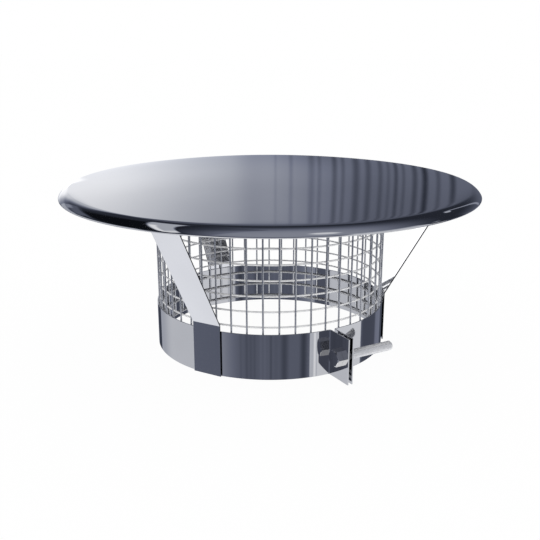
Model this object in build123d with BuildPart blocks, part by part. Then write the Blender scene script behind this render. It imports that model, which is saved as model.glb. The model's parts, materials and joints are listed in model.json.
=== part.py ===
"""Chimney rain cap: a shallow stainless dome on three bent legs, a welded-mesh bird guard
and a split clamp band closed by one hex bolt. Millimetres, +Z up, origin on the axis at the
bottom of the band. Azimuths are in degrees from the front (-Y) towards the right (+X)."""

import math
import os

from build123d import *

# Flue that the cap is clamped to
flue_diameter = 200.0
flue_clearance = 0.3

# Welded wire mesh: uprights outside, hoops inside, set into each other at each crossing
wire_diameter = 1.5
weld_set = 0.4
upright_count = 49
upright_turn = -3.15
upright_tail = 1.2
hoop_pitch = 13.0
first_hoop_height = 5.4
mesh_top_gap = 0.3

# Clamp band with two ears bent outwards, closing slightly towards their tips
band_height = 39.0
band_thickness = 1.0
band_clearance = 0.03
ear_azimuth = 29.63
ear_length = 26.0
ear_root_gap = 3.15
ear_tip_gap = 3.0
ear_bend_radius = 1.0

# Clamp bolt M8 x 55 and thin nut
bolt_diameter = 8.0
bolt_length = 53.0
bolt_tip_chamfer = 1.2
thread_pitch = 1.25
thread_depth = 0.6
thread_runout = 1.5
hex_flats = 13.0
hex_chamfer = 0.5
hex_seat_chamfer = 0.15
head_height = 5.3
nut_height = 4.0
bolt_from_band = 12.6
bolt_hole_diameter = 9.0
thread_clearance = 0.05
seat_clearance = 0.02

# Legs: flat strip, upright on the band, leaning out to a tab under the dome
leg_count = 3
first_leg_azimuth = -29.75
leg_width = 26.4
leg_thickness = 1.0
leg_bend_height = 44.4
leg_top_radius = 162.6
leg_tab_length = 25.0
leg_bend_radius = 1.5
leg_seat_gap = 0.05

# Cap cover: shallow spherical dome, rolled edge and closed hem
cap_diameter = 366.8
cap_rim_height = 137.7
cap_thickness = 0.8
dome_radius = 1075.0
roll_radius = 12.5
roll_end_slope = 60.0
hem_radius = 1.2
hem_return = 7.0

# Radii worked out from the flue outwards
wire_radius = wire_diameter / 2
hoop_radius = flue_diameter / 2 + flue_clearance + wire_radius
upright_radius = hoop_radius + wire_diameter - weld_set
band_inner_radius = upright_radius + wire_radius + band_clearance
band_outer_radius = band_inner_radius + band_thickness
ear_tip_radius = band_outer_radius + ear_length

# Centres of the cover's section, in radius and height
slope = math.radians(roll_end_slope)
hem_r = cap_diameter / 2 - hem_radius
hem_z = cap_rim_height + hem_radius
roll_r = hem_r - (roll_radius - hem_radius) * math.sin(slope)
roll_z = hem_z - (roll_radius - hem_radius) * math.cos(slope)
dome_centre_z = roll_z - math.sqrt((dome_radius - roll_radius) ** 2 - roll_r**2)
dome_slope = math.degrees(math.asin(roll_r / (dome_radius - roll_radius)))
under_radius = dome_radius - cap_thickness
under_hem_radius = roll_radius - 2 * hem_radius


def radial(azimuth):
    """Unit vector pointing away from the axis at an azimuth."""
    angle = math.radians(azimuth)
    return Vector(math.sin(angle), -math.cos(angle), 0)


def section_plane(azimuth):
    """Plane through the axis: x is the radius at this azimuth and y is the height."""
    out = radial(azimuth)
    return Plane(origin=(0, 0, 0), x_dir=out, z_dir=out.cross(Vector(0, 0, 1)))


def dome_underside(radius):
    """Height of the dome's underside at a radius."""
    return dome_centre_z + math.sqrt(under_radius**2 - radius**2)


def mesh_top():
    """Height of the uprights' upper ends, just under the dome."""
    return dome_underside(upright_radius + wire_radius) - mesh_top_gap


def finish(piece, name):
    """Name the piece and write its STEP file."""
    piece.part.label = name
    export_step(piece.part, f"parts/{name}.step")


def make_cover():
    """Spun cover: dome arc, rolled edge, hem turned under, and back along the inside."""
    roll_turn = roll_end_slope - dome_slope
    return_turn = math.degrees(hem_return / under_hem_radius)
    tops = []
    ends = []
    with BuildPart() as cover:
        with BuildSketch(Plane.XZ):
            with BuildLine():
                for inset in (0, cap_thickness):
                    top = (0, dome_centre_z + dome_radius - inset)
                    dome = JernArc(top, (1, 0), dome_radius - inset, -dome_slope)
                    roll = JernArc(dome @ 1, dome % 1, roll_radius - inset, -roll_turn)
                    hem = JernArc(roll @ 1, roll % 1, hem_radius - inset, -180)
                    back = JernArc(hem @ 1, hem % 1, under_hem_radius + inset, return_turn)
                    tops.append(dome @ 0)
                    ends.append(back @ 1)
                Line(*tops)
                Line(*ends)
            make_face()
        revolve(axis=Axis.Z)
    finish(cover, "cap_cover")


def make_leg(azimuth, name):
    """Bent strip: foot against the band, strut leaning out, tab flat under the dome."""
    half_diagonal = math.hypot(leg_tab_length, leg_width) / 2
    tab_angle = math.asin((leg_top_radius - leg_tab_length / 2) / under_radius)
    tab_top = math.sqrt((under_radius - leg_seat_gap) ** 2 - half_diagonal**2)
    tab_low = tab_top - leg_thickness
    foot_r = band_outer_radius + seat_clearance
    knee = (foot_r, leg_bend_height)
    rise = (tab_low - leg_top_radius * math.sin(tab_angle)) / math.cos(tab_angle)
    shoulder = (leg_top_radius, dome_centre_z + rise)
    tab_end = (
        shoulder[0] - leg_tab_length * math.cos(tab_angle),
        shoulder[1] + leg_tab_length * math.sin(tab_angle),
    )
    bends = [leg_bend_radius + leg_thickness, leg_bend_radius]
    with BuildPart() as leg:
        with BuildSketch(section_plane(azimuth)):
            with BuildLine():
                FilletPolyline((foot_r, 0), knee, shoulder, tab_end, radius=bends)
                offset(amount=leg_thickness, side=Side.RIGHT)
            make_face()
        extrude(amount=leg_width / 2, both=True)
    finish(leg, name)


def make_band():
    """Split ring with two ears, drilled for the bolt. Sketched with x along the ears."""
    root = math.sqrt(band_inner_radius**2 - (ear_root_gap / 2) ** 2)
    lean = math.atan2((ear_root_gap - ear_tip_gap) / 2, ear_tip_radius - root)
    across = band_thickness / math.cos(lean)
    root_in, tip_in = ear_root_gap / 2, ear_tip_gap / 2
    inside_root = root - band_thickness
    slack_in = root_in + band_thickness * math.tan(lean)
    plane = Plane(origin=(0, 0, 0), x_dir=radial(ear_azimuth), z_dir=(0, 0, 1))
    with BuildPart() as band:
        with BuildSketch(plane):
            Circle(band_outer_radius)
            Circle(band_inner_radius, mode=Mode.SUBTRACT)
            with BuildLine():
                Polyline(
                    (root, root_in),
                    (ear_tip_radius, tip_in),
                    (ear_tip_radius, tip_in + across),
                    (root, root_in + across),
                    close=True,
                )
            make_face()
            mirror(about=Plane.XZ)
            with BuildLine():
                Polyline(
                    (inside_root, slack_in),
                    (ear_tip_radius, tip_in),
                    (ear_tip_radius, -tip_in),
                    (inside_root, -slack_in),
                    close=True,
                )
            make_face(mode=Mode.SUBTRACT)
        extrude(amount=band_height)
        corners = band.edges().filter_by(Axis.Z)
        rings = corners.group_by(lambda e: round(math.hypot(e.center().X, e.center().Y), 1))
        fillet(rings[1], ear_bend_radius)
        corners = band.edges().filter_by(Axis.Z)
        rings = corners.group_by(lambda e: round(math.hypot(e.center().X, e.center().Y), 1))
        fillet(rings[0], ear_bend_radius + band_thickness)
        with BuildSketch(bolt_plane()):
            Circle(bolt_hole_diameter / 2)
        extrude(amount=ear_root_gap + 2 * band_thickness, both=True, mode=Mode.SUBTRACT)
    finish(band, "clamp_band")


def bolt_plane():
    """Plane midway between the ears, on the bolt's axis, facing away from the bolt's head."""
    centre = radial(ear_azimuth) * (band_outer_radius + bolt_from_band)
    return Plane(
        origin=centre + Vector(0, 0, band_height / 2),
        x_dir=radial(ear_azimuth),
        z_dir=Vector(0, 0, 1).cross(radial(ear_azimuth)),
    )


def ear_seat():
    """Distance from the mid plane at which a turning hex clears the leaning ear."""
    root = math.sqrt(band_inner_radius**2 - (ear_root_gap / 2) ** 2)
    lean = math.atan2((ear_root_gap - ear_tip_gap) / 2, ear_tip_radius - root)
    corner = hex_flats / math.sqrt(3)
    nearest = band_outer_radius + bolt_from_band - corner
    face = ear_root_gap / 2 - (nearest - root) * math.tan(lean)
    return face + band_thickness / math.cos(lean) + seat_clearance


def bolt_section():
    """Plane through the bolt's axis: x is the distance from it and y runs along it."""
    face = bolt_plane()
    return Plane(origin=face.origin, x_dir=face.x_dir, z_dir=-face.y_dir)


def hex_blank(low, high, low_chamfer, high_chamfer):
    """Hex block on the bolt's axis, its corners turned down at the chamfered ends."""
    corner = hex_flats / math.sqrt(3)
    low_run = low_chamfer * math.sqrt(3)
    high_run = high_chamfer * math.sqrt(3)
    with BuildPart() as blank:
        with BuildSketch(bolt_plane().offset(low)):
            RegularPolygon(corner, 6)
        extrude(amount=high - low)
        with BuildSketch(bolt_section()):
            with BuildLine():
                Polyline(
                    (0, low),
                    (corner - low_run, low),
                    (corner, low + low_chamfer),
                    (corner, high - high_chamfer),
                    (corner - high_run, high),
                    (0, high),
                    close=True,
                )
            make_face()
        revolve(axis=Axis(bolt_plane().origin, bolt_plane().z_dir), mode=Mode.INTERSECT)
    return blank.part


def make_bolt():
    """Hex-head bolt: chamfered head on the front ear, threaded shank through both ears."""
    seat = ear_seat()
    tip = bolt_length - seat
    crest = bolt_diameter / 2
    valley = crest - thread_depth
    first = -seat + thread_runout
    turns = int((tip - bolt_tip_chamfer - first) / thread_pitch)
    outline = [(0, -seat), (crest, -seat), (crest, first)]
    for turn in range(turns):
        start = first + turn * thread_pitch
        outline.append((valley, start + thread_pitch / 2))
        outline.append((crest, start + thread_pitch))
    outline += [(crest, tip - bolt_tip_chamfer), (crest - bolt_tip_chamfer, tip), (0, tip)]
    with BuildPart() as bolt:
        add(hex_blank(-seat - head_height, -seat, hex_chamfer, hex_seat_chamfer))
        with BuildSketch(bolt_section()):
            with BuildLine():
                Polyline(*outline, close=True)
            make_face()
        revolve(axis=Axis(bolt_plane().origin, bolt_plane().z_dir))
    finish(bolt, "clamp_bolt")


def make_nut():
    """Thin hex nut behind the rear ear, chamfered on both faces."""
    seat = ear_seat()
    with BuildPart() as nut:
        add(hex_blank(seat, seat + nut_height, hex_seat_chamfer, hex_chamfer))
        with BuildSketch(bolt_plane().offset(seat)):
            Circle(bolt_diameter / 2 + thread_clearance)
        extrude(amount=nut_height, mode=Mode.SUBTRACT)
    finish(nut, "clamp_nut")


def make_uprights():
    """All upright wires of the mesh, each its own solid."""
    low = first_hoop_height - upright_tail
    high = mesh_top()
    upright_seat = (Align.CENTER, Align.CENTER, Align.MIN)
    with BuildPart(Plane.XY.offset(low)) as uprights:
        with PolarLocations(upright_radius, upright_count, start_angle=upright_turn - 90):
            Cylinder(wire_radius, high - low, align=upright_seat)
    finish(uprights, "mesh_uprights")


def make_hoop(number):
    """One hoop of the mesh, inside the uprights."""
    height = first_hoop_height + (number - 1) * hoop_pitch
    with BuildPart(Plane.XY.offset(height)) as hoop:
        Torus(hoop_radius, wire_radius)
    finish(hoop, f"mesh_hoop_{number:02d}")


os.makedirs("parts", exist_ok=True)
make_cover()
leg_names = ["leg_front", "leg_right", "leg_back"]
for index in range(leg_count):
    make_leg(first_leg_azimuth + index * 360 / leg_count, leg_names[index])
make_band()
make_bolt()
make_nut()
make_uprights()
hoop_count = int((mesh_top() - first_hoop_height) / hoop_pitch) + 1
for number in range(1, hoop_count + 1):
    make_hoop(number)
print(f"dome top {dome_centre_z + dome_radius:.2f}, hem bottom {cap_rim_height:.2f}")
print(f"band {band_inner_radius:.2f} to {band_outer_radius:.2f}, ear seat {ear_seat():.3f}")
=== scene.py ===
"""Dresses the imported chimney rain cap: bright stainless sheet, strip, wire and bolt in a plain studio."""

import json
import math
import bmesh
import bpy
import numpy as np
from bpy.props import FloatProperty, FloatVectorProperty, IntProperty, PointerProperty
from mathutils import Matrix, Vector


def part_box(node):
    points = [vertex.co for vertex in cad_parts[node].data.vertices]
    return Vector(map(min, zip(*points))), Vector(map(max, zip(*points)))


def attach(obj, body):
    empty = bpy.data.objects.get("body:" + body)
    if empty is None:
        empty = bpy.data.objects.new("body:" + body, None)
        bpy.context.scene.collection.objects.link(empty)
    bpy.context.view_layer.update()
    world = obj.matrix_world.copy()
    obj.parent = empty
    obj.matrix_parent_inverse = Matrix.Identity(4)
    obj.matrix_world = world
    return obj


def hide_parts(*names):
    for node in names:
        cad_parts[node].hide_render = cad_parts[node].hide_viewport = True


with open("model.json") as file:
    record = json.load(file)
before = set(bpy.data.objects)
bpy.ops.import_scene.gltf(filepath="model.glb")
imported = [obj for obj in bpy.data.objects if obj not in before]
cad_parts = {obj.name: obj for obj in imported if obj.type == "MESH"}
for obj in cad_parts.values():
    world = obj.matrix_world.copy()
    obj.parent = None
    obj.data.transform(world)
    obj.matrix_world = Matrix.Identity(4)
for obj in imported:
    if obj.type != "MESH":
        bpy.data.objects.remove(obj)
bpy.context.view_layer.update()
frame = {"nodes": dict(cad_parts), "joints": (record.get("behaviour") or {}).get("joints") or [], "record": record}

bl_info = {
    "name": "Chimney rain cap",
    "version": (1, 0, 0),
    "blender": (4, 5, 0),
    "location": "View3D > Sidebar > Rain cap",
    "description": "Builds the visible pieces of a stainless chimney rain cap",
    "category": "Add Mesh",
}

COVER_LOW, COVER_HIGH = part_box("cap_cover")
BAND_LOW, BAND_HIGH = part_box("clamp_band")
HOOPS = sorted(name for name in frame["nodes"] if name.startswith("mesh_hoop"))
HOOP_LOW, HOOP_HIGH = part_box(HOOPS[0])
UPRIGHT_LOW, UPRIGHT_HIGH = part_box("mesh_uprights")
BODY_OF = {node: body for body, nodes in frame["record"]["behaviour"]["bodies"].items() for node in nodes}
BOLT_JOINT = next(joint for joint in frame["joints"] if joint["name"] == "nut_turn")

MM = 0.001
FULL_TURN = 2 * math.pi
UP = np.array([0.0, 0.0, 1.0])
LEGS = ("leg_front", "leg_right", "leg_back")


def length(name, description, default):
    """A length property, in metres."""
    return FloatProperty(name=name, description=description, default=default, unit="LENGTH", precision=5)


def angle(name, description, degrees):
    """An angle property, given here in degrees."""
    return FloatProperty(name=name, description=description, default=math.radians(degrees), subtype="ANGLE")


def colour(name, description, default):
    """A colour property."""
    return FloatVectorProperty(
        name=name, description=description, default=default, subtype="COLOR", min=0, max=1
    )


class CoverSettings(bpy.types.PropertyGroup):
    rim_radius: length("Rim radius", "Greatest radius of the cover", COVER_HIGH.x)
    apex: length("Apex height", "Height of the dome's top", COVER_HIGH.z)
    rim_bottom: length("Rim bottom", "Height of the hem's lowest line", COVER_LOW.z)
    thickness: length("Sheet", "Thickness of the sheet", 0.8 * MM)
    roll_radius: length("Roll radius", "Radius of the rolled edge", 12.5 * MM)
    roll_end: angle("Roll end", "Slope at which the roll meets the hem", 60)
    hem_radius: length("Hem radius", "Outer radius of the closed hem", 1.2 * MM)
    hem_return: length("Hem return", "Length of the sheet turned back inside", 7 * MM)


class LegSettings(bpy.types.PropertyGroup):
    count: IntProperty(name="Legs", description="Number of legs", default=3, min=1)
    first: angle("First leg", "Azimuth of the front leg from the front towards the right", -29.75)
    width: length("Width", "Width of the strip", 26.4 * MM)
    thickness: length("Strip", "Thickness of the strip", 1.0 * MM)
    bend_height: length("Bend height", "Height of the lower bend", 44.4 * MM)
    top_radius: length("Top radius", "Radius at which the strut meets its tab", 162.6 * MM)
    tab: length("Tab", "Length of the tab under the dome", 25 * MM)
    dome: length("Dome radius", "Radius of the dome that the tab lies under", 1.075)
    bend_radius: length("Bend radius", "Inner radius of both bends", 1.5 * MM)
    edge: length("Edge radius", "Rounding of the strip's cut edges", 0.15 * MM)


class BandSettings(bpy.types.PropertyGroup):
    radius: length("Outer radius", "Outer radius of the band", -BAND_LOW.x)
    height: length("Height", "Height of the band", BAND_HIGH.z)
    thickness: length("Sheet", "Thickness of the band", 1.0 * MM)
    ear_azimuth: angle("Ear azimuth", "Azimuth of the ears from the front towards the right", 29.63)
    ear_length: length("Ear length", "How far the ears stand out", 26 * MM)
    root_gap: length("Root gap", "Gap between the ears at the band", 3.15 * MM)
    tip_gap: length("Tip gap", "Gap between the ears at their tips", 3.0 * MM)
    bend_radius: length("Bend radius", "Inner radius where an ear leaves the band", 1.0 * MM)
    hole: length("Bolt holes", "Diameter of the holes in the ears", 9 * MM)
    edge: length("Edge radius", "Rounding of the band's cut edges", 0.12 * MM)


class BoltSettings(bpy.types.PropertyGroup):
    diameter: length("Diameter", "Outer diameter of the thread", 8 * MM)
    length: length("Length", "Length under the head", 53 * MM)
    pitch: length("Pitch", "Pitch of the thread", 1.25 * MM)
    depth: length("Depth", "Depth of the thread", 0.35 * MM)
    flats: length("Across flats", "Width of head and nut across flats", 13 * MM)
    head: length("Head", "Height of the head", 5.3 * MM)
    nut: length("Nut", "Height of the nut", 4 * MM)
    chamfer: length("Chamfer", "Depth of the hexagons' corner chamfers", 0.5 * MM)
    seat: length("Seat", "Distance from the mid plane to head and nut", 2.578 * MM)
    tip: length("Tip chamfer", "Chamfer at the bolt's tip", 1.2 * MM)


class MeshSettings(bpy.types.PropertyGroup):
    wire: length("Wire", "Diameter of the wire", HOOP_HIGH.z - HOOP_LOW.z)
    uprights: IntProperty(name="Uprights", description="Number of upright wires", default=49, min=3)
    turn: angle("Turn", "Azimuth of the first upright", -3.15)


class FinishSettings(bpy.types.PropertyGroup):
    steel: colour("Steel", "Colour of the bright sheet", (0.55, 0.55, 0.556))
    strip: colour("Leg strip", "Colour of the legs' brighter strip", (0.75, 0.75, 0.757))
    # Painted sheen: the bolt's thread is paler and less metallic than its head, standing in for the bright light
    # the smooth shank mirrors.
    pickled: colour("Pickled skin", "Colour of the bolt's thread", (0.86, 0.86, 0.86))
    # Painted sheen: the hoops are near white and barely metallic, a lit copy of the upright wire that stands in
    # for the white light the glossy hoops mirror.
    hoop: colour("Hoop wire", "Colour of the mesh's hoops", (0.95, 0.95, 0.95))
    upright: colour("Upright wire", "Colour of the mesh's uprights", (0.60, 0.605, 0.615))
    # Painted shade: the legs' cut edges are near black, standing in for the deep shade along the strip's edges
    # beside the band.
    sheared: colour("Sheared edge", "Colour of the legs' cut edges", (0.02, 0.021, 0.025))
    floor: colour("Floor", "Colour of the floor", (0.96, 0.96, 0.96))


def smooth_between(value, low, high):
    """0 below low, 1 above high, and a smooth rise between."""
    share = np.clip((value - low) / (high - low), 0, 1)
    return share * share * (3 - 2 * share)


def out_and_along(azimuth):
    """Unit vectors away from the axis and sideways at an azimuth: (sin a, -cos a, 0), (cos a, sin a, 0)."""
    a = np.asarray(azimuth, float)
    nil = np.zeros_like(a)
    return np.stack([np.sin(a), -np.cos(a), nil], -1), np.stack([np.cos(a), np.sin(a), nil], -1)


def arc(centre, radius, start, turn, steps):
    """Points centre + radius (cos t, sin t), with t from start to start + turn."""
    t = start + turn * np.linspace(0, 1, steps)
    return np.stack([centre[0] + radius * np.cos(t), centre[1] + radius * np.sin(t)], -1)


def rounded_box(width, height, radius, hold=0.2 * MM, steps=4):
    """Closed rounded rectangle: a quarter circle of the radius at each corner, counter-clockwise, and a
    point on the straight at hold from each of its ends, which keeps the flats flat under smooth shading."""
    x, y = width / 2 - radius, height / 2 - radius
    corners = [(x, -y, -0.5), (x, y, 0), (-x, y, 0.5), (-x, -y, 1)]
    points = []
    for cx, cy, start in corners:
        turn = arc((cx, cy), radius, start * math.pi, math.pi / 2, steps)
        lead = np.array([-math.sin(start * math.pi), math.cos(start * math.pi)])
        trail = np.array([-lead[1], lead[0]])
        points += [turn[:1] - lead * hold, turn, turn[-1:] + trail * hold]
    return np.concatenate(points)


def dressed(obj, material, nodes):
    """Gives a finished piece its material and the body of the nodes it stands for, and hides those nodes."""
    obj.data.materials.append(material)
    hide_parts(*nodes)
    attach(obj, BODY_OF[nodes[0]])
    return obj


def surface(name, grid, close_u=False, close_v=False, caps=False, crease=30, cut=None):
    """Mesh of a grid of points P(u, v): one quad for each cell. Closed directions join the last row
    to the first, caps close the two ends of u with one face each, and doubled points are merged.
    Cut says how far each v belongs to a cut edge, and is kept as an attribute of that name; the legs' material
    paints shade there."""
    rows, columns = grid.shape[:2]
    index = np.arange(rows * columns).reshape(rows, columns)
    u = np.arange(rows if close_u else rows - 1)
    v = np.arange(columns if close_v else columns - 1)
    u_next, v_next = (u + 1) % rows, (v + 1) % columns
    quads = np.stack(
        [
            index[np.ix_(u, v)], index[np.ix_(u_next, v)],
            index[np.ix_(u_next, v_next)], index[np.ix_(u, v_next)],
        ],
        -1,
    ).reshape(-1, 4)
    faces = quads.tolist()
    if caps:
        faces += [index[0].tolist(), index[-1, ::-1].tolist()]
    mesh = bpy.data.meshes.new(name)
    mesh.from_pydata(grid.reshape(-1, 3).tolist(), [], faces)
    if cut is not None:
        shares = np.broadcast_to(cut, (rows, columns)).astype(np.float32).ravel()
        mesh.attributes.new("cut", "FLOAT", "POINT").data.foreach_set("value", shares)
    obj = bpy.data.objects.new(name, mesh)
    bpy.context.collection.objects.link(obj)
    tidy_mesh(mesh, crease)
    return obj


def tidy_mesh(mesh, crease):
    """Merges doubled points, turns faces outwards and shades smooth, but for edges past crease degrees."""
    work = bmesh.new()
    work.from_mesh(mesh)
    bmesh.ops.remove_doubles(work, verts=work.verts, dist=1e-6)
    bmesh.ops.dissolve_degenerate(work, edges=work.edges, dist=1e-7)
    bmesh.ops.recalc_face_normals(work, faces=work.faces)
    work.to_mesh(mesh)
    work.free()
    mesh.shade_smooth()
    mesh.set_sharp_from_angle(angle=math.radians(crease))
    mesh.update()


def drilled(obj, cutter, crease):
    """Cuts a closed form out of a piece, then removes that form."""
    cut = obj.modifiers.new("drill", "BOOLEAN")
    cut.operation = "DIFFERENCE"
    cut.solver = "EXACT"
    cut.object = cutter
    bpy.context.view_layer.objects.active = obj
    bpy.ops.object.modifier_apply(modifier=cut.name)
    bpy.data.objects.remove(cutter)
    obj.data.set_sharp_from_angle(angle=math.radians(crease))


def joined(name, parts):
    """One object from several."""
    bpy.ops.object.select_all(action="DESELECT")
    for part in parts:
        part.select_set(True)
    whole = parts[0]
    bpy.context.view_layer.objects.active = whole
    bpy.ops.object.join()
    whole.name = name
    whole.data.name = name
    return whole


class Shader:
    """Small helper that adds and links nodes in one tree."""

    def __init__(self, tree):
        self.tree = tree
        tree.nodes.clear()

    def node(self, kind, inputs=(), **settings):
        made = self.tree.nodes.new(kind)
        for key, value in settings.items():
            setattr(made, key, value)
        for key, value in dict(inputs).items():
            if isinstance(value, bpy.types.NodeSocket):
                self.tree.links.new(value, made.inputs[key])
            else:
                made.inputs[key].default_value = value
        return made

    def math(self, operation, first, second=0.0):
        return self.node("ShaderNodeMath", {0: first, 1: second}, operation=operation).outputs[0]

    def rise(self, value, low, high, first=0.0, last=1.0):
        """Smooth step from first to last as a value goes from low to high."""
        made = self.node(
            "ShaderNodeMapRange",
            {"Value": value, "From Min": low, "From Max": high, "To Min": first, "To Max": last},
            interpolation_type="SMOOTHSTEP",
        )
        return made.outputs["Result"]

    def strip(self, value, low, high, soft):
        """1 between low and high, fading over soft at both."""
        edge = soft / 2
        return self.math(
            "MULTIPLY",
            self.rise(value, low - edge, low + edge),
            self.rise(value, high - edge, high + edge, 1.0, 0.0),
        )

    def lay(self, share, under, over):
        """Number mix: over where share is 1, under where it is 0."""
        return self.node("ShaderNodeMix", {0: share, 2: under, 3: over}, data_type="FLOAT").outputs[0]

    def blend(self, share, first, second):
        """Colour mix."""
        made = self.node("ShaderNodeMix", {0: share}, data_type="RGBA")
        for socket, value in ((made.inputs[6], first), (made.inputs[7], second)):
            if isinstance(value, bpy.types.NodeSocket):
                self.tree.links.new(value, socket)
            else:
                socket.default_value = value
        return made.outputs[2]


def steel(name, base, roughness, spread, stretch, grain, sheared=None, metal=1.0, turn=0.0):
    """Bright stainless: base colour drifting a little in soft clouds, and a fine drawn grain in roughness
    and bump. Stretch sets how fine the grain is along each axis of the object, after a turn about Z.
    Where the piece has the attribute cut, sheared is painted shade: the near-black colour on its cut edges.
    Metal is below 1 for a paler, duller surface, which with a pale colour is painted sheen."""
    cloud_scale = 9.0
    noise_low, noise_high = 0.3, 0.7
    darker, lighter = 0.95, 1.03
    sheared_roughness = 0.5
    grain_height = 0.02 * MM
    material = bpy.data.materials.new(name)
    material.use_nodes = True
    shader = Shader(material.node_tree)
    place = shader.node("ShaderNodeTexCoord").outputs["Object"]
    lines = shader.node(
        "ShaderNodeMapping",
        {"Vector": place, "Rotation": (0, 0, turn), "Scale": [1 / fine for fine in stretch]},
        vector_type="TEXTURE",
    ).outputs[0]
    grain_noise = shader.node(
        "ShaderNodeTexNoise", {"Vector": lines, "Scale": 1.0, "Detail": 4.0, "Roughness": 0.6}
    ).outputs["Fac"]
    cloud = shader.node(
        "ShaderNodeTexNoise", {"Vector": place, "Scale": cloud_scale, "Detail": 3.0}
    ).outputs["Fac"]
    dark = tuple(darker * c for c in base) + (1,)
    light = tuple(min(1, lighter * c) for c in base) + (1,)
    tint = shader.blend(shader.rise(cloud, noise_low, noise_high), dark, light)
    rough = shader.rise(grain_noise, noise_low, noise_high, roughness, roughness + spread)
    if sheared is not None:
        cut = shader.node("ShaderNodeAttribute", attribute_name="cut").outputs["Fac"]
        tint = shader.blend(cut, tint, (*sheared, 1))
        rough = shader.lay(cut, rough, sheared_roughness)
    bump = shader.node(
        "ShaderNodeBump", {"Strength": grain, "Distance": grain_height, "Height": grain_noise}
    ).outputs["Normal"]
    principled = shader.node(
        "ShaderNodeBsdfPrincipled",
        {"Base Color": tint, "Roughness": rough, "Normal": bump, "Metallic": metal},
    )
    shader.node("ShaderNodeOutputMaterial", {"Surface": principled.outputs[0]})
    return material


def cover_section(made):
    """Closed section of the cover in radius and height: dome arc, roll, hem half turn and return,
    then the same arcs one sheet thickness inside. All arcs meet tangentially, so the dome's radius is
    (a squared + h squared - r squared) / 2 (h - r), where r is the roll's radius and a and h are how far
    its centre lies from the axis and below the apex."""
    dome_steps, roll_steps, hem_steps, return_steps = 60, 24, 12, 10
    roll, hem, end = made.roll_radius, made.hem_radius, made.roll_end
    hem_at = np.array([made.rim_radius - hem, made.rim_bottom + hem])
    roll_at = hem_at - (roll - hem) * np.array([math.sin(end), math.cos(end)])
    rise = made.apex - roll_at[1]
    dome = (roll_at[0] ** 2 + rise**2 - roll**2) / (2 * (rise - roll))
    slope = math.asin(roll_at[0] / (dome - roll))
    dome_at = np.array([0, made.apex - dome])
    top = math.pi / 2
    fold = roll - 2 * hem
    back = made.hem_return / fold
    sides = []
    for inset in (0, made.thickness):
        sides.append(
            np.concatenate(
                [
                    arc(dome_at, dome - inset, top, -slope, dome_steps),
                    arc(roll_at, roll - inset, top - slope, slope - end, roll_steps)[1:],
                    arc(hem_at, hem - inset, top - end, -math.pi, hem_steps)[1:],
                    arc(roll_at, fold + inset, top - end, back, return_steps)[1:],
                ]
            )
        )
    return np.concatenate([sides[0], sides[1][::-1]])


class CAP_OT_cover(bpy.types.Operator):
    """Spun cover with a rolled and hemmed edge"""

    bl_idname = "rain_cap.cover"
    bl_label = "Cover"

    def execute(self, context):
        section = cover_section(context.scene.cap_cover)
        steps_round = 384
        turns = np.linspace(0, FULL_TURN, steps_round, endpoint=False)
        out, _ = out_and_along(turns)
        grid = out[None] * section[:, None, :1] + UP * section[:, None, 1:]
        cover = surface("cover", grid, close_v=True, crease=40)
        finish = context.scene.cap_finish
        material = steel(
            "spun_cover", finish.steel, roughness=0.03, spread=0.02, stretch=(40, 40, 40), grain=0.02
        )
        dressed(cover, material, ["cap_cover"])
        return {"FINISHED"}


def bent_path(points, radii, hold=0.5 * MM, steps=9):
    """Polyline with each inner corner replaced by a tangent arc of its radius, and a point on the run at
    hold before and after each arc, which keeps long runs flat under smooth shading."""
    path = [points[0]]
    for before, corner, after, radius in zip(points, points[1:], points[2:], radii):
        to_before = (before - corner) / np.linalg.norm(before - corner)
        to_after = (after - corner) / np.linalg.norm(after - corner)
        half = math.acos(np.clip(to_before @ to_after, -1, 1)) / 2
        reach = radius / math.tan(half)
        middle = to_before + to_after
        centre = corner + middle / np.linalg.norm(middle) * radius / math.sin(half)
        first = corner + to_before * reach - centre
        last = corner + to_after * reach - centre
        start = math.atan2(first[1], first[0])
        turn = (math.atan2(last[1], last[0]) - start + math.pi) % FULL_TURN - math.pi
        path.append(corner + to_before * (reach + hold))
        path += list(arc(centre, radius, start, turn, steps))
        path.append(corner + to_after * (reach + hold))
    return np.array(path + [points[-1]])


def path_normals(path):
    """Left-hand mitred normals of a plane path, lengthened so that an offset keeps its distance."""
    step = np.diff(path, axis=0)
    side = np.stack([-step[:, 1], step[:, 0]], -1) / np.linalg.norm(step, axis=1)[:, None]
    before = np.concatenate([side[:1], side])
    after = np.concatenate([side, side[-1:]])
    mitre = before + after
    mitre /= np.linalg.norm(mitre, axis=1)[:, None]
    return mitre / (mitre * after).sum(1)[:, None]


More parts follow.
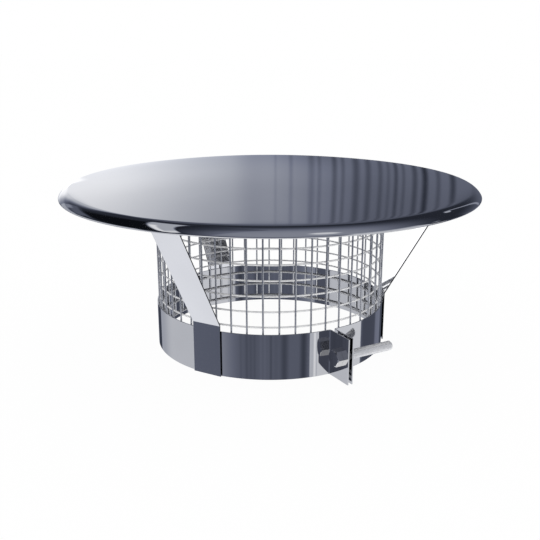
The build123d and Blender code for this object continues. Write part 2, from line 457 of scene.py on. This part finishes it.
class CAP_OT_legs(bpy.types.Operator):
    """Bent strip legs"""

    bl_idname = "rain_cap.legs"
    bl_label = "Legs"

    def execute(self, context):
        made = context.scene.cap_legs
        finish = context.scene.cap_finish
        material = steel(
            "leg_strip", finish.strip, roughness=0.05, spread=0.04, stretch=(900, 900, 40), grain=0.04,
            sheared=finish.sheared,
        )
        low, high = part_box("leg_right")
        foot = low.x + made.thickness / 2
        top = high.z - made.thickness / 2
        tab_slope = math.asin(made.top_radius / made.dome)
        shoulder = top - made.tab * math.sin(tab_slope)
        points = np.array(
            [
                (foot, 0.0),
                (foot, made.bend_height),
                (made.top_radius, shoulder),
                (made.top_radius - made.tab * math.cos(tab_slope), top),
            ]
        )
        # The strip's rounded section is carried along the leg's path, in the upright plane of each leg.
        path = bent_path(points, [made.bend_radius + made.thickness / 2] * 2)
        section = rounded_box(made.thickness, made.width, made.edge)
        # The cut edges get painted shade: a near-black colour standing in for the deep shade beside the band.
        cut = smooth_between(abs(section[:, 1]), made.width / 2 - made.edge, made.width / 2 - made.edge / 2)
        flat = path[:, None] + path_normals(path)[:, None] * section[None, :, :1]
        for place, name in enumerate(LEGS):
            out, along = out_and_along(made.first + place * FULL_TURN / made.count)
            grid = out * flat[..., :1] + UP * flat[..., 1:] + along * section[None, :, 1:]
            leg = surface(
                name.replace("leg", "strip_leg"), grid, close_v=True, caps=True, crease=50, cut=cut
            )
            dressed(leg, material, [name])
        return {"FINISHED"}


class CAP_OT_band(bpy.types.Operator):
    """Split clamp band with two ears"""

    bl_idname = "rain_cap.band"
    bl_label = "Band"

    def execute(self, context):
        made = context.scene.cap_band
        middle = made.radius - made.thickness / 2
        tip = made.radius + made.ear_length
        root_side = made.root_gap / 2 + made.thickness / 2
        tip_side = made.tip_gap / 2 + made.thickness / 2
        root = math.sqrt(middle**2 - root_side**2)
        first = math.atan2(root_side, root)
        # The band's rounded section is carried along its middle line: an ear, the ring and the other ear.
        ring_steps = 361
        ring = arc((0, 0), middle, first, FULL_TURN - 2 * first, ring_steps)
        bend = made.bend_radius + made.thickness / 2
        near = 6  # steps of the ring that each ear's bend takes up
        ear_in = bent_path(np.array([(tip, tip_side), ring[0], ring[near]]), [bend])
        ear_out = ear_in[::-1] * np.array([1, -1])
        path = np.concatenate([ear_in, ring[near + 1:-near - 1], ear_out])
        path_side = path_normals(path)
        section = rounded_box(made.thickness, made.height, made.edge)
        flat = path[:, None] + path_side[:, None] * section[None, :, :1]
        out, along = out_and_along(made.ear_azimuth)
        up = section[None, :, 1:] + made.height / 2
        grid = out * flat[..., :1] + along * flat[..., 1:] + UP * up
        band = surface("band", grid, close_v=True, caps=True, crease=50)
        # The holes are drilled through both ears by one cylinder on the bolt's axis.
        hole_steps = 64
        turns = np.linspace(0, FULL_TURN, hole_steps, endpoint=False)
        reach = made.root_gap + 2 * made.thickness
        heights = np.array([-reach, -reach, reach, reach])[:, None] * np.ones_like(turns)
        radii = np.array([0, 0.5, 0.5, 0])[:, None] * made.hole * np.ones_like(turns)
        drilled(band, turned("drill", heights, radii, turns), 50)
        finish = context.scene.cap_finish
        material = steel(
            "band_sheet", finish.steel, roughness=0.03, spread=0.03, stretch=(600, 600, 12), grain=0.05
        )
        dressed(band, material, ["clamp_band"])
        return {"FINISHED"}


def bolt_frame():
    """Centre of the ears on the bolt's axis, the axis, and two directions square to it."""
    centre = np.array(BOLT_JOINT["pos_m"], float)
    axis = np.array(BOLT_JOINT["axis"], float)
    return centre, axis, np.cross(UP, axis), UP


def turned(name, heights, radii, turns, crease=25):
    """Surface round the bolt's axis: P = centre + height * axis + radius (cos t * side + sin t * up)."""
    centre, axis, side, up = bolt_frame()
    ring = np.cos(turns)[:, None] * side + np.sin(turns)[:, None] * up
    grid = centre + heights[..., None] * axis + radii[..., None] * ring
    return surface(name, grid, close_v=True, crease=crease)


def hex_reach(turns, flats):
    """Distance from the axis to a hexagon's side at each angle, with a corner at angle 0."""
    return flats / 2 / np.cos((turns % (math.pi / 3)) - math.pi / 6)


def hex_piece(name, near, far, made, bore=0.0, both=False):
    """Hexagon whose corners are cut by a cone, far - (r - flat) tan 30, where r passes flat, with a
    narrow bevel round its face."""
    steps_round = 180
    bevel = 0.2 * MM
    turns = np.linspace(0, FULL_TURN, steps_round, endpoint=False)
    reach = hex_reach(turns, made.flats)
    slope = math.tan(math.radians(30))
    flat = made.flats / math.sqrt(3) - made.chamfer / slope
    face = np.minimum(reach, flat)
    sign = 1 if far > near else -1
    drop = sign * ((reach - face) * slope + bevel)
    start = near + (drop if both else 0)
    rings = [
        (near, bore), (near, face - (bevel if both else 0)), (start, reach), (far - drop, reach),
        (far, face - bevel), (far, bore),
    ]
    if bore:
        rings.append((near, bore))
    same = np.ones_like(turns)
    heights = np.stack([h * same for h, _ in rings])
    radii = np.stack([r * same for _, r in rings])
    return turned(name, heights, radii, turns)


class CAP_OT_bolt(bpy.types.Operator):
    """Hex bolt with a rolled thread, and its nut"""

    bl_idname = "rain_cap.bolt"
    bl_label = "Bolt and nut"

    def execute(self, context):
        made = context.scene.cap_bolt
        finish = context.scene.cap_finish
        plain = steel(
            "bolt_steel", finish.steel, roughness=0.08, spread=0.05, stretch=(300, 300, 300), grain=0.03
        )
        head = hex_piece("bolt_head", -made.seat, -made.seat - made.head, made)
        dressed(head, plain, ["clamp_bolt"])
        # The shank's radius is half the diameter, less a helical groove: the phase runs 0 to 1 along
        # each pitch and turns once with the angle, and the groove is deepest at its middle. The groove
        # fades out near the head.
        steps_in_pitch, steps_round = 14, 48
        groove_edge, groove_floor = 0.28, 0.05
        nut_clearance = 0.05 * MM
        tip = made.length - made.seat
        steps = int((tip + made.seat) / made.pitch * steps_in_pitch)
        height = np.linspace(-made.seat - made.head / 2, tip, steps)
        turns = np.linspace(0, FULL_TURN, steps_round, endpoint=False)
        phase = (height[:, None] / made.pitch - turns / FULL_TURN) % 1
        groove = smooth_between(abs(phase - 0.5), groove_edge, groove_floor)
        fade = smooth_between(height, -made.seat + made.pitch, -made.seat + 2 * made.pitch)
        groove = groove * fade[:, None]
        radius = made.diameter / 2 - made.depth * groove
        radius = np.minimum(radius, made.diameter / 2 - made.tip + (tip - height)[:, None])
        heights = np.concatenate([height[:1], height, height[-1:]])[:, None] * np.ones_like(turns)
        nil = np.zeros((1, len(turns)))
        shank = turned("bolt_shank", heights, np.concatenate([nil, radius, nil]), turns, crease=60)
        _, axis, _, _ = bolt_frame()
        turn = math.atan2(axis[1], axis[0])
        # Painted sheen: the thread is paler and less metallic than the head and nut, standing in for the bright
        # light the shank mirrors.
        pickled = steel(
            "bolt_thread", finish.pickled, roughness=0.22, spread=0.15, stretch=(15, 1400, 1400), grain=0.5,
            metal=0.5, turn=turn,
        )
        dressed(shank, pickled, ["clamp_bolt"])
        bore = made.diameter / 2 + nut_clearance
        nut = hex_piece("nut", made.seat, made.seat + made.nut, made, bore=bore, both=True)
        dressed(nut, plain, ["clamp_nut"])
        return {"FINISHED"}


class CAP_OT_mesh(bpy.types.Operator):
    """Welded mesh sleeve of uprights and hoops"""

    bl_idname = "rain_cap.mesh"
    bl_label = "Mesh"

    def execute(self, context):
        made = context.scene.cap_mesh
        finish = context.scene.cap_finish
        # Painted sheen: the hoops get a near-white, barely metallic colour, standing in for the white light that
        # the glossy wire mirrors.
        pale = steel(
            "hoop_wire", finish.hoop, roughness=0.3, spread=0.1, stretch=(700, 700, 700), grain=0.1,
            metal=0.15,
        )
        drawn = steel(
            "upright_wire", finish.upright, roughness=0.16, spread=0.08, stretch=(700, 700, 700), grain=0.1
        )
        reach = made.wire / 2
        steps_round_wire, steps_between = 16, 8
        around = np.linspace(0, FULL_TURN, steps_round_wire, endpoint=False)
        turns = np.linspace(0, FULL_TURN, steps_between * made.uprights, endpoint=False)
        out, _ = out_and_along(turns)
        # A hoop is a torus: out (R + r cos s) + up (level + r sin s).
        for name in HOOPS:
            low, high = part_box(name)
            radius = (high.x - low.x) / 2 - reach
            level = (high.z + low.z) / 2
            grid = (
                out[:, None] * (radius + reach * np.cos(around))[None, :, None]
                + UP * (level + reach * np.sin(around))[None, :, None]
            )
            hoop = surface(name.replace("mesh_", ""), grid, close_u=True, close_v=True)
            dressed(hoop, pale, [name])
        # An upright is a straight cylinder whose ends are chamfered.
        centre_reach = (UPRIGHT_HIGH.y - UPRIGHT_LOW.y) / 2 - reach
        low, high = UPRIGHT_LOW.z, UPRIGHT_HIGH.z
        chamfer = 0.1 * MM
        levels = np.array([low, low, low + chamfer, high - chamfer, high, high])
        widths = np.array([0, reach - chamfer, reach, reach, reach - chamfer, 0])
        wires = []
        for place in range(made.uprights):
            out, along = out_and_along(made.turn + place * FULL_TURN / made.uprights)
            ring = out * np.cos(around)[:, None] + along * np.sin(around)[:, None]
            grid = out * centre_reach + ring[None] * widths[:, None, None] + UP * levels[:, None, None]
            wires.append(surface(f"upright_{place:02d}", grid, close_v=True, crease=60))
        uprights = joined("uprights", wires)
        dressed(uprights, drawn, ["mesh_uprights"])
        return {"FINISHED"}


# The studio that the steel mirrors, in tones from 0, black, to 1, white, and in degrees. The front
# field is the azimuth from the front and the back field the azimuth from the back, both towards the
# right. The wall field is the azimuth from the back about an axis that leans back by the wall's tilt.
# A card has its field, its left, right, low and high edge, how soft its sides and its low and high
# edges are, and its tone. A rise is a low and a high value, and the tone at each.
GLOW_AT = (15, 48)
GLOW = (0.25, 1.0, 0.15, 0.50)
SIDE_CARDS = [
    ("front", -147, -40, 24, 90, 8, 5, 0.16),
    ("front", -132, -40, 24, 90, 16, 8, 0.075),
    ("front", -150, -108, 20.5, 23, 12, 1.5, 0.31),
    ("front", -122, -69, -30, 5, 6, 10, 0.60),
    ("front", 41, 88, -30, 30, 4, 12, 0.64),
    ("front", 97, 103, 22, 26, 3, 2, 0.55),
]

# The light bar lies along a great circle, given by the direction square to it. Its field is how far
# off that circle a direction points. Reaches are left, right and softness in the front field.
LIGHT_BAR = Vector((0.735, -0.433, 0.522))
BAR_REACH = (-138, -53, 8)
BAR_WIDTH = (-5.2, 5.2, 1.5)
BAR = (-70, -58, 0.62, 0.80)
# A brighter line runs along the bar's lower part.
LINE_REACH = (-108, -56, 10)
LINE_WIDTH = (-4.4, -1.6, 1.6)
LINE_TONE = 0.82
# Past the bar the room is a little lighter, the more so towards the front.
BEYOND_REACH = (-150, -36, 12)
BEYOND_FROM = (4.5, 7)
BEYOND = (0, 30, 0.16, 0.34)
BEYOND_FRONT = (-90, -20, -0.05, 0.1)

# A round lamp, with the distances from its middle at which its edge starts and ends.
LAMP_AT = (40, 56)
LAMP_EDGE = (8, 3)
LAMP_TONE = 0.74

# Cards at the back, and one far round to the left.
FAR_CARDS = [
    ("back", -24, 22, -14, 49, 8, 12, 0.31),
    ("back", 15, 62, -30, 14, 8, 22, 0.30),
    ("front", -144, -116, 13, 24, 6, 6, 0.32),
    ("back", -60, -34, -30, 11, 3, 5, 0.58),
    ("back", -46, -39, 10, 18, 2, 4, 0.47),
    ("back", 15, 24, -30, -12, 3, 5, 0.97),
    ("back", 24, 29, -30, -12, 4, 5, 0.66),
    ("back", 31, 38, -30, -12, 4, 5, 0.78),
    ("back", 36.5, 39.5, 2, 31, 1.5, 3, 0.50),
    ("back", 39.5, 47, 30, 33, 3, 1, 0.62),
]

# The flank is the bright cloth left of the far wall. It darkens upwards, and near the floor.
FLANK = (-38.3, -12, -30, 30, 1.2, 8)
FLANK_TONE = (-38, -23, 0.44, 0.84)
FLANK_SHADES = [(7, 13, 0, 0.13), (13, 18, 0, 0.08), (-9, 0, 0.25, 0)]

# The far wall of cloth darkens to the right. Its left falls off upwards from a level, and its lower part
# is darker again, less so to the right.
WALL_TILT = 35
WALL = (-19, 18.5, -30, 32, 2, 4)
WALL_TONE = (-18, 0, 0.83, 0.605)
WALL_FALL = (-14, 6, 0.0044, 0.0003)
WALL_LEVEL = 4
WALL_RIGHT = (-6, 12, 0, 0.26)
WALL_LOW = (-6, 16, 1, 0)
WALL_LOW_SHADE = (4, 10, 0.12, 0.03)
# Folds of that cloth: place, depth in tone and half width.
FOLDS = [
    (-2.0, 0.03, 2.2), (0.55, 0.035, 0.25), (2.1, 0.055, 0.35), (4.15, 0.07, 0.55), (4.95, 0.06, 0.35),
    (6.45, 0.10, 0.45), (7.3, 0.07, 0.35), (8.6, 0.10, 0.6), (9.8, 0.085, 0.5), (11.0, 0.07, 0.4),
    (11.8, 0.05, 0.3), (12.55, 0.10, 0.35), (13.3, 0.06, 0.3), (14.4, 0.10, 0.45), (15.4, 0.17, 0.5),
    (16.7, 0.07, 0.4), (18.1, 0.13, 0.5),
]
# A bright card before that wall, which the right leg's strut mirrors.
FLARE = ("back", -21.5, -16.3, -3, 5, 1.5, 2, 0.93)

# Below the horizon a dark cloth runs all round, with its own folds and cards over it.
LOW = (-42, -9)
LOW_SOFT = 4
LOW_TONE = (-56, -24, 0.51, 0.342)
LOW_FOLDS = [
    (-28.8, 0.025, 1.8), (-22.9, 0.035, 2.2), (-18.9, 0.02, 1.5), (-18, 0.02, 10), (-15.0, 0.025, 1.6),
    (-9.0, -0.02, 1.8), (-5.0, -0.02, 1.8), (0.9, 0.06, 2.0), (6.0, 0.022, 4.5), (14, 0.09, 6),
    (33.2, 0.115, 5.5),
]
# Left, right, softness and tone of each low card, in the front field.
LOW_CARDS = [
    (-153, -69.5, 3, 0.57),
    (-128, -62, 28, 0.69),
    (-69.5, -51.5, 1.5, 0.30),
    (-163, -145.5, 3, 0.20),
    (-200, -163, 3, 0.56),
    (39.5, 103, 1.5, 0.74),
    (40, 43.5, 1, 0.66),
    (44, 45.5, 1, 0.80),
    (46.5, 48, 1, 0.64),
    (105, 133, 6, 0.26),
    (133, 150, 6, 0.40),
    (150, 200, 5, 0.23),
]

# The floor as the steel mirrors it: white at the left of the front and a little darker elsewhere.
FLOOR_FROM = (-36, -48)
FLOOR_REACH = (-68, -38, 10)
FLOOR_TONES = (0.73, 1.0)

# The tones' faint blue cast, as colours for the eye, and how strongly the steel mirrors them.
TINTS = [
    (0.0, (0.0, 0.0, 0.0)), (0.18, (0.18, 0.192, 0.227)), (0.4, (0.373, 0.388, 0.443)),
    (0.6, (0.577, 0.589, 0.622)), (0.8, (0.798, 0.802, 0.816)), (1.0, (1.0, 1.0, 1.0)),
]
EYE_GAMMA = 2.2
MIRRORED_STRENGTH = 1.84

# The real floor, its share of its own white, and the camera.
FLOOR_HALF = 30.0
FLOOR_GLOW = 0.97
CAMERA_AT = (0, -0.6653, 0.2576)
CAMERA_TILT = 16.30
LENS_MM = 50
SENSOR_MM = 36


def direction(azimuth, height):
    """Unit vector at an azimuth from the front towards the right and a height, both in degrees."""
    a, h = math.radians(azimuth), math.radians(height)
    return (math.sin(a) * math.cos(h), -math.cos(a) * math.cos(h), math.sin(h))


def studio_tone(shader, ray):
    """Tone that the steel mirrors in each direction: the studio's parts laid over one another in turn."""
    x, y, z = shader.node("ShaderNodeSeparateXYZ", {"Vector": ray}).outputs
    degrees = 180 / math.pi

    def azimuth(ahead):
        return shader.math("MULTIPLY", shader.math("ARCTAN2", x, ahead), degrees)

    def along(vector):
        made = shader.node("ShaderNodeVectorMath", {0: ray, 1: vector}, operation="DOT_PRODUCT")
        return made.outputs["Value"]

    def card(tone, name, left, right, low, high, side, lift, over):
        sides = shader.strip(field[name], left, right, side)
        return shader.lay(shader.math("MULTIPLY", sides, shader.strip(height, low, high, lift)), tone, over)

    def folded(tone, across, folds):
        for place, depth, half in folds:
            away = shader.math("ABSOLUTE", shader.math("SUBTRACT", across, place))
            tone = shader.math("SUBTRACT", tone, shader.rise(away, 0.0, half, depth, 0.0))
        return tone

    tilt = math.radians(WALL_TILT)
    field = {
        "front": azimuth(shader.math("MULTIPLY", y, -1.0)),
        "back": azimuth(y),
        "wall": azimuth(along((0.0, math.cos(tilt), math.sin(tilt)))),
    }
    front, back, wall = field.values()
    height = shader.math("MULTIPLY", shader.math("ARCSINE", z), degrees)

    tone = shader.rise(along(direction(*GLOW_AT)), *GLOW)
    for row in SIDE_CARDS:
        tone = card(tone, *row)

    off = shader.math("MULTIPLY", shader.math("ARCSINE", along(LIGHT_BAR)), degrees)
    beyond = shader.math("ADD", shader.rise(off, *BEYOND), shader.rise(front, *BEYOND_FRONT))
    share = shader.math("MULTIPLY", shader.rise(off, *BEYOND_FROM), shader.strip(front, *BEYOND_REACH))
    tone = shader.lay(share, tone, beyond)
    share = shader.math("MULTIPLY", shader.strip(front, *BAR_REACH), shader.strip(off, *BAR_WIDTH))
    tone = shader.lay(share, tone, shader.rise(front, *BAR))
    share = shader.math("MULTIPLY", shader.strip(front, *LINE_REACH), shader.strip(off, *LINE_WIDTH))
    tone = shader.lay(share, tone, LINE_TONE)

    edge = [math.cos(math.radians(away)) for away in LAMP_EDGE]
    tone = shader.lay(shader.rise(along(direction(*LAMP_AT)), *edge), tone, LAMP_TONE)
    for row in FAR_CARDS:
        tone = card(tone, *row)

    flank = shader.rise(back, *FLANK_TONE)
    for shade in FLANK_SHADES:
        flank = shader.math("SUBTRACT", flank, shader.rise(height, *shade))
    tone = card(tone, "back", *FLANK, flank)

    above = shader.math("SUBTRACT", height, WALL_LEVEL)
    low_shade = shader.math("MULTIPLY", shader.rise(height, *WALL_LOW), shader.rise(wall, *WALL_LOW_SHADE))
    cloth = shader.rise(wall, *WALL_TONE)
    for shade in (
        shader.math("MULTIPLY", shader.rise(wall, *WALL_FALL), above),
        shader.rise(wall, *WALL_RIGHT),
        low_shade,
    ):
        cloth = shader.math("SUBTRACT", cloth, shade)
    tone = card(tone, "back", *WALL, folded(cloth, wall, FOLDS))
    tone = card(tone, *FLARE)

    low = folded(shader.rise(front, *LOW_TONE), front, LOW_FOLDS)
    tone = card(tone, "front", -200, 200, *LOW, LOW_SOFT, LOW_SOFT, low)
    for left, right, side, over in LOW_CARDS:
        tone = card(tone, "front", left, right, *LOW, side, LOW_SOFT, over)
    floor = shader.lay(shader.strip(front, *FLOOR_REACH), *FLOOR_TONES)
    return shader.lay(shader.rise(height, *FLOOR_FROM), tone, floor)


def studio_world():
    """World of two parts: white for the camera and for diffuse light, and the studio for gloss."""
    world = bpy.data.worlds.new("studio")
    bpy.context.scene.world = world
    world.use_nodes = True
    shader = Shader(world.node_tree)
    ray = shader.node("ShaderNodeTexCoord").outputs["Generated"]
    ramp = shader.node("ShaderNodeValToRGB", {"Fac": studio_tone(shader, ray)})
    stops = ramp.color_ramp.elements
    for place, (at, shade) in enumerate(TINTS):
        stop = stops[place] if place < 2 else stops.new(1)
        stop.position = at
        stop.color = (*shade, 1)
    light = shader.node("ShaderNodeGamma", {"Color": ramp.outputs["Color"], "Gamma": EYE_GAMMA}).outputs[0]
    paths = shader.node("ShaderNodeLightPath").outputs
    mirrored = shader.node(
        "ShaderNodeBackground", {"Color": light, "Strength": MIRRORED_STRENGTH}
    ).outputs[0]
    white = shader.node("ShaderNodeBackground", {"Color": (1, 1, 1, 1), "Strength": 1.0}).outputs[0]
    mixed = shader.node("ShaderNodeMixShader", {0: paths["Is Glossy Ray"], 1: white, 2: mirrored})
    shader.node("ShaderNodeOutputWorld", {"Surface": mixed.outputs[0]})


def floor_material(base):
    """Pale floor with a light shadow: mostly its own white for the camera, plain diffuse otherwise."""
    material = bpy.data.materials.new("pale_floor")
    material.use_nodes = True
    shader = Shader(material.node_tree)
    matt = shader.node("ShaderNodeBsdfDiffuse", {"Color": (*base, 1)}).outputs[0]
    glow = shader.node("ShaderNodeEmission", {"Color": (1, 1, 1, 1), "Strength": 1.0}).outputs[0]
    seen = shader.node("ShaderNodeLightPath").outputs["Is Camera Ray"]
    share = shader.math("MULTIPLY", seen, FLOOR_GLOW)
    mixed = shader.node("ShaderNodeMixShader", {0: share, 1: matt, 2: glow})
    shader.node("ShaderNodeOutputMaterial", {"Surface": mixed.outputs[0]})
    return material


class CAP_OT_stage(bpy.types.Operator):
    """Floor, studio and camera"""

    bl_idname = "rain_cap.stage"
    bl_label = "Stage"

    def execute(self, context):
        across, back = np.meshgrid([-FLOOR_HALF, FLOOR_HALF], [-FLOOR_HALF, FLOOR_HALF], indexing="ij")
        floor = surface("floor", np.stack([across, back, np.zeros((2, 2))], -1))
        floor.data.materials.append(floor_material(context.scene.cap_finish.floor))
        floor.visible_glossy = False
        studio_world()
        lens = bpy.data.cameras.new("camera")
        lens.lens = LENS_MM
        lens.sensor_width = SENSOR_MM
        camera = bpy.data.objects.new("camera", lens)
        context.collection.objects.link(camera)
        camera.location = CAMERA_AT
        camera.rotation_euler = (math.radians(90 - CAMERA_TILT), 0, 0)
        context.scene.camera = camera
        context.scene.view_settings.view_transform = "Standard"
        return {"FINISHED"}


BUILDERS = (CAP_OT_cover, CAP_OT_legs, CAP_OT_band, CAP_OT_bolt, CAP_OT_mesh, CAP_OT_stage)
SETTINGS = {
    "cap_cover": CoverSettings,
    "cap_legs": LegSettings,
    "cap_band": BandSettings,
    "cap_bolt": BoltSettings,
    "cap_mesh": MeshSettings,
    "cap_finish": FinishSettings,
}


class CAP_PT_panel(bpy.types.Panel):
    """Lists the pieces of the rain cap"""

    bl_label = "Rain cap"
    bl_space_type = "VIEW_3D"
    bl_region_type = "UI"
    bl_category = "Rain cap"

    def draw(self, context):
        for builder in BUILDERS:
            self.layout.operator(builder.bl_idname)
        for name, group in SETTINGS.items():
            box = self.layout.box()
            for key in group.__annotations__:
                box.prop(getattr(context.scene, name), key)


def register():
    for item in (*SETTINGS.values(), *BUILDERS, CAP_PT_panel):
        bpy.utils.register_class(item)
    for name, group in SETTINGS.items():
        setattr(bpy.types.Scene, name, PointerProperty(type=group))


def unregister():
    for name in SETTINGS:
        delattr(bpy.types.Scene, name)
    for item in (CAP_PT_panel, *BUILDERS, *SETTINGS.values()):
        bpy.utils.unregister_class(item)


def main():
    register()
    bpy.ops.rain_cap.cover()
    bpy.ops.rain_cap.legs()
    bpy.ops.rain_cap.band()
    bpy.ops.rain_cap.bolt()
    bpy.ops.rain_cap.mesh()
    bpy.ops.rain_cap.stage()


if __name__ == "__main__":
    main()
